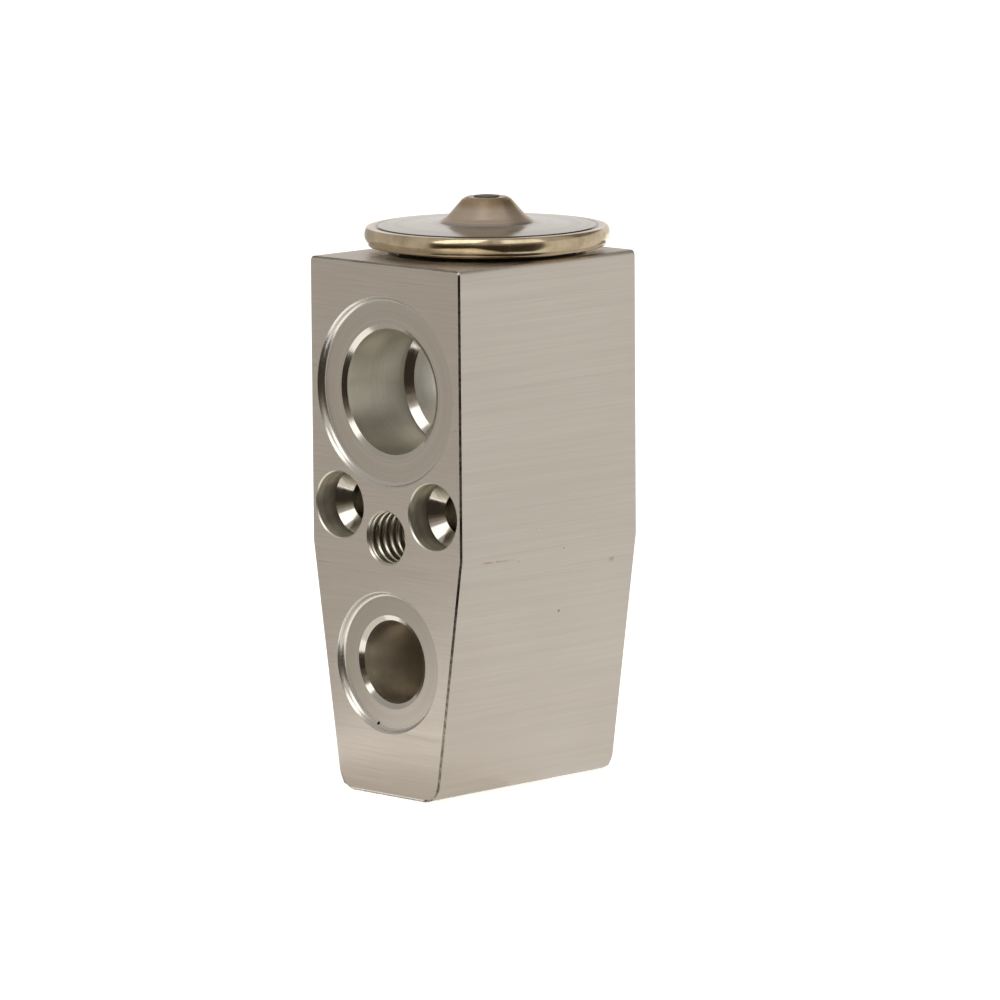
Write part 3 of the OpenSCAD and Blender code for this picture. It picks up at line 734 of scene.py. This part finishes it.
def threadTree(inputs):
    # the section is carried round a helix, whose ends fade out into the wall
    tree, given, ids = newGeometryTree("threadRidge", inputs)
    path, turn = lineOfTurns(tree, given)
    helix = wound(path, turn, given["Radius"], multiply(turn, given["Pitch"]))
    fromEnd = smaller(turn, subtract(given["Turns"], turn))
    fade = smaller(multiply(fromEnd, studThread["fadesPerTurn"]), 1.0)
    band = (multiply(given["Stand Out"], -1.0), multiply(given["Band Width"], 0.5))
    wedge = (given["Wedge Depth"], multiply(given["Wedge Width"], 0.5))
    profile = addNode(tree, "GeometryNodeCurvePrimitiveQuadrilateral", mode="POINTS")
    corners = ((band, 1.0), (wedge, 1.0), (wedge, -1.0), (band, -1.0))
    for number, ((depth, half), sign) in enumerate(corners, start=1):
        feed(profile, {"Point %d" % number: joined(depth, multiply(half, sign))})
    swept = addNode(tree, "GeometryNodeCurveToMesh", {
        "Curve": helix, "Profile Curve": profile.outputs[0], "Scale": fade, "Fill Caps": True}).outputs[0]
    endTree(swept, given["Material"])
    return tree, ids


def buildStudThread():
    piece = growPiece("studHoleThread", threadTree, {
        **inMetres(studThread["lengths"]), **studThread["counts"], "Material": blockFinishes["stud"]})
    low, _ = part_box("valve_body")
    mesh = piece.data
    mesh.transform(Matrix.Translation((0, low.y + studThread["start"] * mm, blockLook["studZ"] * mm))
                   @ Matrix.Rotation(math.radians(-90), 4, "X"))
    work = bmesh.new()
    work.from_mesh(mesh)
    bmesh.ops.recalc_face_normals(work, faces=work.faces)
    work.to_mesh(mesh)
    work.free()
    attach(piece, "housing")
    reach = [math.hypot(v.co.x, v.co.z - blockLook["studZ"] * mm) / mm for v in mesh.vertices]
    print("stage: stud thread, radius %.2f to %.2f mm" % (min(reach), max(reach)))


buildStudThread()


# Turned and pressed pieces of the power element

def arcPoints(outline, steps):
    # an outline of (radius, height, fillet) corners, in millimetres, with its fillets as short arcs
    points = []
    for i, (r, z, fillet) in enumerate(outline):
        here = Vector((r, z))
        before = Vector(outline[i - 1][:2]) - here
        after = Vector(outline[(i + 1) % len(outline)][:2]) - here
        opening = before.angle(after) if before.length and after.length else math.pi
        if fillet <= 0 or opening > math.radians(178):
            points.append((r, z))
            continue
        back = min(fillet / math.tan(opening / 2), 0.49 * before.length, 0.49 * after.length)
        radius = back * math.tan(opening / 2)
        inward = (before.normalized() + after.normalized()).normalized()
        middle = here + inward * (radius / math.sin(opening / 2))
        a, b = here + before.normalized() * back - middle, here + after.normalized() * back - middle
        sweep = a.angle_signed(b)
        points += [tuple(middle + Matrix.Rotation(-sweep * k / steps, 2) @ a) for k in range(steps + 1)]
    return points


def turnedPiece(name, outline, material, segments, steps):
    # a closed outline carried round Z
    work = bmesh.new()
    rings = []
    for r, z in arcPoints(outline, steps):
        turns = [0] if r < 1e-6 else [2 * math.pi * k / segments for k in range(segments)]
        rings.append([work.verts.new((r * mm * math.cos(t), r * mm * math.sin(t), z * mm)) for t in turns])
    for ring, following in zip(rings, rings[1:] + rings[:1]):
        for k in range(segments):
            n = (k + 1) % segments
            corners = (ring[k % len(ring)], ring[n % len(ring)], following[n % len(following)],
                       following[k % len(following)])
            unique = list(dict.fromkeys(corners))
            if len(unique) > 2:
                work.faces.new(unique)
    bmesh.ops.recalc_face_normals(work, faces=work.faces)
    for face in work.faces:
        face.smooth = True
    mesh = bpy.data.meshes.new(name)
    work.to_mesh(mesh)
    work.free()
    mesh.materials.append(material)
    mesh.set_sharp_from_angle(angle=math.radians(32))
    return addObject(name, mesh)


headLook = {
    "top": (0.46, 0.43, 0.40), "rim": (0.84, 0.70, 0.48), "cone": (0.76, 0.63, 0.50),
    "crown": (0.60, 0.45, 0.28),
    # painted shade: a dark line where the top drops into the rim's groove
    "ring": (0.24, 0.21, 0.18), "stain": (0.33, 0.24, 0.14), "groove": (0.10, 0.08, 0.06),
    # where each colour begins and where it is full, as radii or, for the crown, heights
    "rimStart": (17.3, 17.9), "coneStart": (7.4, 6.6), "crownStart": (87.6, 89.2),
    "shoulder": (16.60, 16.95),         # radii between which the top drops to the rim's groove
    "ringShare": 0.16, "crownStain": 0.75, "rimStain": 0.55, "leastStain": 0.2, "grooveShare": 0.85,
    "pitch": 0.25, "patch": 4, "speckSpacing": 9, "roughness": (0.12, 0.20),
    "coneRoughness": 0.16, "bump": 0.05,
}
baseLook = {
    "dark": (0.44, 0.35, 0.22), "light": (0.64, 0.54, 0.38), "stain": (0.30, 0.22, 0.13), "axis": "z",
    "roughness": (0.2, 0.3), "pitch": 0.2, "bump": 0.05, "mottle": 0.35, "patch": 3, "turnedMottle": False,
}
plugLook = {
    "dark": (0.06, 0.045, 0.035), "light": (0.16, 0.13, 0.10), "stain": (0.10, 0.07, 0.04), "axis": "z",
    "roughness": (0.35, 0.5), "pitch": 0.2, "contrast": 1.5, "bump": 0.2,
}


def startOf(value, bounds):
    begin, full = bounds
    return remap(value, begin * mm, full * mm, smooth=True)


def coverSteel():
    # pressed stainless steel, straw-coloured where the rim and the cone's crown were welded
    look = headLook
    material, shader = newMaterial("coverSteel")
    place = objectCoordinates(shader)
    parts = partsOf(place)
    radius = lengthOf(joined(parts[0], parts[1]))
    rings = useGroup("turnedRings", turnedUp(place), Pitch=look["pitch"] * mm, Contrast=1.0)
    dirt = useGroup("handling", place, Patch_Size=look["patch"] * mm, Speck_Spacing=look["speckSpacing"] * mm)
    rim, cone = startOf(radius, look["rimStart"]), startOf(radius, look["coneStart"])
    crown = startOf(parts[2], look["crownStart"])
    tone = mixColour(rim, look["top"], look["rim"])
    tone = mixColour(cone, tone, look["cone"])
    tone = mixColour(crown, tone, look["crown"])
    tone = stained(tone, rings["Rings"], look["ringShare"], look["ring"])
    heat = larger(multiply(crown, look["crownStain"]), multiply(rim, look["rimStain"]))
    tone = stained(tone, dirt["Patches"], larger(heat, look["leastStain"]), look["stain"])
    # painted shade: a dark line in the groove between the top and the rim
    inner, outer = look["shoulder"]
    groove = multiply(startOf(radius, (inner - 0.04, inner + 0.04)),
                      remap(radius, outer * mm, (outer + 0.1) * mm, look["grooveShare"], 0.0, smooth=True))
    tone = mixColour(groove, tone, look["groove"])
    roughness = add(remap(rings["Bands"], 0, 1, *look["roughness"]), multiply(cone, look["coneRoughness"]))
    dress(shader, tone, roughness, rings["Rings"], look["bump"])
    return material


rimLook = {
    "radius": 18.75, "step": 0.05, "fineAbove": 85.1,
    # height and how far the rim's surface leans there, in degrees from upright
    "lean": [(82.95, -38), (83.35, -24), (83.75, -10), (84.10, 0), (84.45, 11), (84.70, 17), (85.12, 32),
             (85.22, 55),
             (85.28, 78), (85.30, 88)],
}


def rimRound():
    # the rim's round, from the foot of its lip over its widest place to its crest
    heights, leans = zip(*rimLook["lean"])
    points, r, z = [], 0.0, heights[0]
    while z < heights[-1] - 0.001:
        points.append((r, z))
        step = rimLook["step"] if z < rimLook["fineAbove"] else rimLook["step"] / 5
        lean = math.radians(float(np.interp(z + step / 2, heights, leans)))
        z += step
        r -= step * math.tan(lean)
    points.append((r, heights[-1]))
    widest = max(r for r, _ in points)
    return [(rimLook["radius"] + r - widest, z, 0) for r, z in points]


# Radius, height and fillet of each corner; the cover's run up its inside and back over its top.
coverOutline = [
    (15.0, 83.752, 0), (17.35, 83.752, 0), (17.35, 82.952, 0), *rimRound(), (17.2, 85.29, 0.08),
    (16.92, 85.12, 0.05), (16.62, 85.40, 0.12), (12.0, 85.62, 6), (8.7, 85.75, 2), (7.4, 85.85, 0.6),
    (6.1, 86.7, 0.9), (3.75, 89.37, 0.4), (3.1, 89.73, 0.25), (2.01, 89.73, 0.06), (1.99, 89.28, 0),
    (1.35, 89.28, 0), (1.35, 88.63, 0), (2.92, 88.63, 0.2), (4.98, 86.3, 0.8), (7.1, 84.75, 0.8),
    (14.6, 84.2, 0.2),
]
baseOutline = [
    (9.3, 81.8, 0.1), (15.2, 81.8, 0.25), (15.4, 82.4, 0.12), (18.2, 82.4, 0.3), (18.2, 82.948, 0),
    (17.3, 82.948, 0), (17.3, 83.6, 0), (15.0, 83.6, 0.1), (14.7, 83.0, 0.1), (9.3, 83.0, 0.1),
]
plugOutline = [
    (0, 87.83, 0), (1.0, 87.83, 0), (1.3, 88.23, 0), (1.3, 89.28, 0), (1.95, 89.28, 0), (1.95, 89.89, 0.16),
    (1.15, 89.89, 0.1), (0.85, 89.8, 0.1), (0, 89.8, 0),
]


def buildHead():
    cover = turnedPiece("pressedCover", coverOutline, coverSteel(), segments=240, steps=8)
    base = turnedPiece("pressedBase", baseOutline, ringMetal("baseSteel", baseLook), segments=240, steps=8)
    plug = turnedPiece("weldedPlug", plugOutline, ringMetal("weldedPlug", plugLook), segments=64, steps=6)
    for piece, node, finish in ((cover, "head_cover", "head_steel"), (base, "head_base", "base_steel"),
                                (plug, "charge_plug", "plug_steel")):
        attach(piece, "housing")
        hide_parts(node)
    print("stage: power element,", len(cover.data.polygons), "faces in the cover")


buildHead()


# The valve spring: wire wound round the valve's axis, its end turns closed and ground flat

springLook = {
    "lengths": {"Mean Radius": 3.4, "Wire Radius": 0.5,
                "Closed Rise": 1.08,    # of an end turn: the wire and a gap of 0.08
                "Start": 0.3},          # height of the wire's middle at each end, where the grinding leaves it
    "counts": {"Turns": 7.0, "Steps": 56, "Sides": 18},
}


def springTree(inputs):
    tree, given, ids = newGeometryTree("woundSpring", inputs)
    path, turn = lineOfTurns(tree, given)
    free = subtract(given["Turns"], 2.0)
    ends = multiply(add(given["Start"], given["Closed Rise"]), 2.0)
    freeRise = divide(subtract(subtract(given["High"], given["Low"]), ends), free)
    firstTurn = smaller(turn, 1.0)
    lastTurn = larger(subtract(turn, add(free, 1.0)), 0.0)
    middleTurns = subtract(subtract(turn, firstTurn), lastTurn)
    closed = multiply(add(firstTurn, lastTurn), given["Closed Rise"])
    rise = add(closed, multiply(middleTurns, freeRise))
    helix = wound(path, turn, given["Mean Radius"], add(add(given["Low"], given["Start"]), rise))
    wire = addNode(tree, "GeometryNodeCurvePrimitiveCircle", {
        "Resolution": given["Sides"], "Radius": given["Wire Radius"]}, mode="RADIUS").outputs[0]
    swept = addNode(tree, "GeometryNodeCurveToMesh", {
        "Curve": helix, "Profile Curve": wire, "Fill Caps": True}).outputs[0]
    spot = partsOf(addNode(tree, "GeometryNodeInputPosition").outputs[0])
    held = smaller(larger(spot[2], given["Low"]), given["High"])
    endTree(moved(swept, joined(spot[0], spot[1], held)), given["Material"])
    return tree, ids


innerFinishes = {
    "drawnSpringSteel": {"dark": (0.34, 0.345, 0.35), "light": (0.52, 0.53, 0.54), "stain": (0.30, 0.29, 0.28),
                         "roughness": (0.24, 0.34), "pitch": 0.2, "contrast": 1.0, "bump": 0.05},
    "turnedSteel": {"dark": (0.40, 0.39, 0.37), "light": (0.56, 0.55, 0.53), "stain": (0.36, 0.33, 0.29),
                    "roughness": (0.26, 0.36), "pitch": 0.15, "contrast": 1.4, "bump": 0.10},
    "rolledFoil": {"dark": (0.56, 0.56, 0.55), "light": (0.66, 0.66, 0.65), "stain": (0.55, 0.52, 0.47),
                   "roughness": (0.14, 0.22), "pitch": 0.12, "contrast": 0.8, "bump": 0.03},
    "turnedAlloy": {"dark": (0.54, 0.54, 0.53), "light": (0.70, 0.70, 0.69), "stain": (0.50, 0.48, 0.44),
                    "roughness": (0.22, 0.32), "pitch": 0.14, "contrast": 1.4, "bump": 0.10},
    "groundSteel": {"dark": (0.60, 0.60, 0.61), "light": (0.70, 0.70, 0.71), "stain": (0.56, 0.55, 0.54),
                    "roughness": (0.08, 0.14), "pitch": 0.08, "contrast": 0.8, "bump": 0.02},
    "turnedBrass": {"dark": (0.52, 0.37, 0.14), "light": (0.70, 0.52, 0.22), "stain": (0.42, 0.28, 0.12),
                    "roughness": (0.20, 0.30), "pitch": 0.15, "contrast": 1.4, "bump": 0.10},
}
sealLook = {
    "colour": (0.016, 0.016, 0.017), "paler": 1.6, "speck": (0.10, 0.10, 0.09), "patch": 1.5, "speckSpacing": 2,
    "speckSize": 0.08, "roughness": (0.48, 0.62), "bump": 0.15, "bumpDepth": 0.01,
}
finishNodes = {
    "turnedSteel": ("head_neck", "stop_plate"), "rolledFoil": ("diaphragm",),
    "turnedAlloy": ("sensing_shaft",),
    "blackSeal": ("head_seal", "shaft_seal", "adjuster_seal"), "groundSteel": ("push_rod", "valve_ball"),
    "drawnSpringSteel": ("seal_retainer", "damper_ring"), "turnedBrass": ("ball_carrier", "adjusting_screw"),
}


def sealRubber(name, look):
    material, shader = newMaterial(name, metallic=0.0)
    dirt = useGroup("handling", objectCoordinates(shader), Patch_Size=look["patch"] * mm,
                    Speck_Spacing=look["speckSpacing"] * mm, Speck_Size=look["speckSize"] * mm)
    tone = mixColour(dirt["Patches"], look["colour"], tuple(look["paler"] * c for c in look["colour"]))
    tone = mixColour(dirt["Specks"], tone, look["speck"])
    dress(shader, tone, remap(dirt["Patches"], 0, 1, *look["roughness"]), dirt["Patches"], look["bump"],
          look["bumpDepth"])
    return material


def buildSpring(material):
    low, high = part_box("valve_spring")
    spring = growPiece("woundSpring", springTree, {
        "Low": low.z, "High": high.z, **inMetres(springLook["lengths"]), **springLook["counts"],
        "Material": material})
    for face in spring.data.polygons:
        face.use_smooth = True
    spring.data.set_sharp_from_angle(angle=math.radians(35))
    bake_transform(spring)
    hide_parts("valve_spring")
    print("stage: spring,", len(spring.data.polygons), "faces")


def dressInnerPieces():
    made = {name: ringMetal(name, {"axis": "z", **look}) for name, look in innerFinishes.items()}
    made["blackSeal"] = sealRubber("blackSeal", sealLook)
    for finish, names in finishNodes.items():
        for name in names:
            nodes[name].material_slots[0].material = made[finish]
    buildSpring(made["drawnSpringSteel"])


dressInnerPieces()


# Studio: a pale floor that runs to white, soft lamps, and cards at fixed levels that only the metal sees

studio = {
    "floorSize": 14.0, "floorColour": (0.82, 0.82, 0.815), "floorLift": 0.62,
    "fill": 0.6, "middle": (0, 0, 0.045),
    "cardRadius": 1.5, "cardStep": 5,       # degrees between the bends of a card on the sphere
    "floorCardFar": 1.6, "floorCardLift": 0.0004,
}
lamps = [
    # name, azimuth, elevation, distance, size, watts
    ("overheadSoftbox", 20, 74, 1.1, (0.8, 0.8), 3.6),
    ("leftSoftbox", -28, 32, 1.3, (0.6, 0.8), 2.6),
    ("rightSoftbox", 118, 30, 1.4, (0.7, 0.8), 3.0),
]
skyCards = [
    # name, low and high corner of a bent card, or all corners of a flat one, as azimuth and elevation; level;
    # share of the radius: what the metal sees that way
    ("frontDark", [(-10, -3), (100, 3)], (0.042, 0.034, 0.026), 1.0),
    ("frontBrown", [(-10, 3), (100, 11)], (0.10, 0.083, 0.064), 1.0),
    ("frontTan", [(-10, 11), (100, 20)], (0.25, 0.22, 0.18), 1.0),
    ("leftWall", [(-120, -2), (-10, 20)], (0.47, 0.45, 0.43), 1.0),
    ("rightWall", [(100, -2), (190, 20)], (0.68, 0.66, 0.635), 1.0),
    ("backWall", [(190, -2), (240, 20)], (0.86, 0.83, 0.80), 1.0),
    ("room", [(-180, 20), (180, 90)], (0.45, 0.435, 0.42), 1.02),
    ("backRoom", [(140, 20), (205, 55)], (0.22, 0.20, 0.18), 0.97),
    ("window", [(-8, 20), (6, 20), (36, 30), (48, 60), (40, 68), (10, 64), (-8, 32)], (2.0, 2.0, 1.96), 0.9),
    ("rightWindow", [(60, 22), (102, 52)], (1.2, 1.2, 1.17), 0.9),
]
floorCards = [
    # name, azimuth and near radius along its near edge, far radius, level
    ("floorFront", [(-9, 0.16), (-4, 0.11), (4, 0.10), (12, 0.064), (30, 0.07), (50, 0.07), (100, 0.07)],
     studio["floorCardFar"], (0.042, 0.034, 0.026)),
    ("floorLeft", [(-120, 0.046), (-90, 0.046), (-60, 0.046), (-45, 0.046), (-36, 0.07), (-28, 0.13),
                   (-9, 0.16)],
     studio["floorCardFar"], (0.49, 0.47, 0.445)),
    ("floorRight", [(a, 0.0) for a in (100, 120, 150, 190)], studio["floorCardFar"], (0.70, 0.68, 0.655)),
    # painted shadow: the valve's own shadow on the floor round its foot, as the metal reflects it
    ("floorFoot", [(a, 0.0) for a in range(-120, 61, 30)], 0.04, (0.6, 0.57, 0.52)),
    ("floorStep", [(-33, 0.04), (-10, 0.04), (30, 0.04), (60, 0.04)], 0.062, (0.9, 0.87, 0.82)),
    ("floorCorner", [(60, 0.0), (80, 0.0), (100, 0.0)], 0.07, (0.68, 0.65, 0.61)),
]


def lightFactor(tree):
    path = addNode(tree, "ShaderNodeLightPath").outputs
    return larger(larger(path["Is Camera Ray"], path["Is Glossy Ray"]), path["Is Transmission Ray"])


def bareMaterial(name):
    material = bpy.data.materials.new(name)
    material.use_nodes = True
    material.node_tree.nodes.clear()
    return material, material.node_tree


def addPlane(name, corners, faces, material):
    mesh = bpy.data.meshes.new(name)
    mesh.from_pydata(corners, [], faces)
    mesh.materials.append(material)
    plane = addObject(name, mesh)
    return plane


def addCard(name, corners, faces, level):
    material, tree = bareMaterial(name + "Paper")
    glow = addNode(tree, "ShaderNodeEmission", {"Color": (*level, 1), "Strength": 1.0})
    addNode(tree, "ShaderNodeOutputMaterial", {"Surface": glow.outputs[0]})
    card = addPlane(name, corners, faces, material)
    card.visible_camera = card.visible_diffuse = card.visible_shadow = card.visible_transmission = False


def addSkyCard(name, corners, level, share):
    # a card on a sphere round the valve; one of two corners is bent along its azimuths and elevations
    (a0, e0), (a1, e1) = corners[0], corners[-1]
    faces = [tuple(range(len(corners)))]
    if len(corners) == 2:
        across, up = (max(1, round(span / studio["cardStep"])) for span in (a1 - a0, e1 - e0))
        corners = [(a0 + (a1 - a0) * i / across, e0 + (e1 - e0) * j / up)
                   for j in range(up + 1) for i in range(across + 1)]
        row = across + 1
        faces = [(j * row + i, j * row + i + 1, (j + 1) * row + i + 1, (j + 1) * row + i)
                 for j in range(up) for i in range(across)]
    spots = [Vector(studio["middle"]) + direction(*corner) * studio["cardRadius"] * share
             for corner in corners]
    addCard(name, spots, faces, level)


def addFloorCard(name, near, far, level):
    lift = Vector((0, 0, studio["floorCardLift"]))
    spots = [direction(azimuth, 0) * r + lift for azimuth, r in near + [(azimuth, far) for azimuth, _ in near]]
    count = len(near)
    addCard(name, spots, [(i, i + 1, count + i + 1, count + i) for i in range(count - 1)], level)


def addLamp(name, azimuth, elevation, distance, size, watts):
    data = bpy.data.lights.new(name, "AREA")
    data.shape = "RECTANGLE"
    data.size, data.size_y = size
    data.energy = watts
    lamp = addObject(name, data)
    lamp.visible_glossy = False          # the metal sees the cards instead
    toLamp = direction(azimuth, elevation)
    lamp.location = Vector(studio["middle"]) + toLamp * distance
    lamp.rotation_euler = (-toLamp).to_track_quat("-Z", "Y").to_euler()


def buildWorld():
    world = bpy.data.worlds.new("studioWorld")
    world.use_nodes = True
    tree = world.node_tree
    tree.nodes.clear()
    fill = addNode(tree, "ShaderNodeBackground", {"Color": (1, 1, 1, 1), "Strength": studio["fill"]})
    white = addNode(tree, "ShaderNodeBackground", {"Color": (1, 1, 1, 1), "Strength": 1.0})
    both = addNode(tree, "ShaderNodeMixShader", {
        0: lightFactor(tree), 1: fill.outputs[0], 2: white.outputs[0]})
    addNode(tree, "ShaderNodeOutputWorld", {"Surface": both.outputs[0]})
    bpy.context.scene.world = world


def buildFloor():
    material, tree = bareMaterial("paleFloor")
    matt = addNode(tree, "ShaderNodeBsdfDiffuse", {"Color": (*studio["floorColour"], 1)})
    lift = addNode(tree, "ShaderNodeEmission", {
        "Color": (1, 1, 1, 1), "Strength": multiply(lightFactor(tree), studio["floorLift"])})
    both = addNode(tree, "ShaderNodeAddShader", {0: matt.outputs[0], 1: lift.outputs[0]})
    addNode(tree, "ShaderNodeOutputMaterial", {"Surface": both.outputs[0]})
    half = studio["floorSize"] / 2
    corners = [(-half, -half, 0), (half, -half, 0), (half, half, 0), (-half, half, 0)]
    addPlane("studioFloor", corners, [(0, 1, 2, 3)], material)


buildWorld()
buildFloor()
for lamp in lamps:
    addLamp(*lamp)
for card in skyCards:
    addSkyCard(*card)
for card in floorCards:
    addFloorCard(*card)
bpy.context.scene.view_settings.view_transform = "Standard"
print("stage: studio")
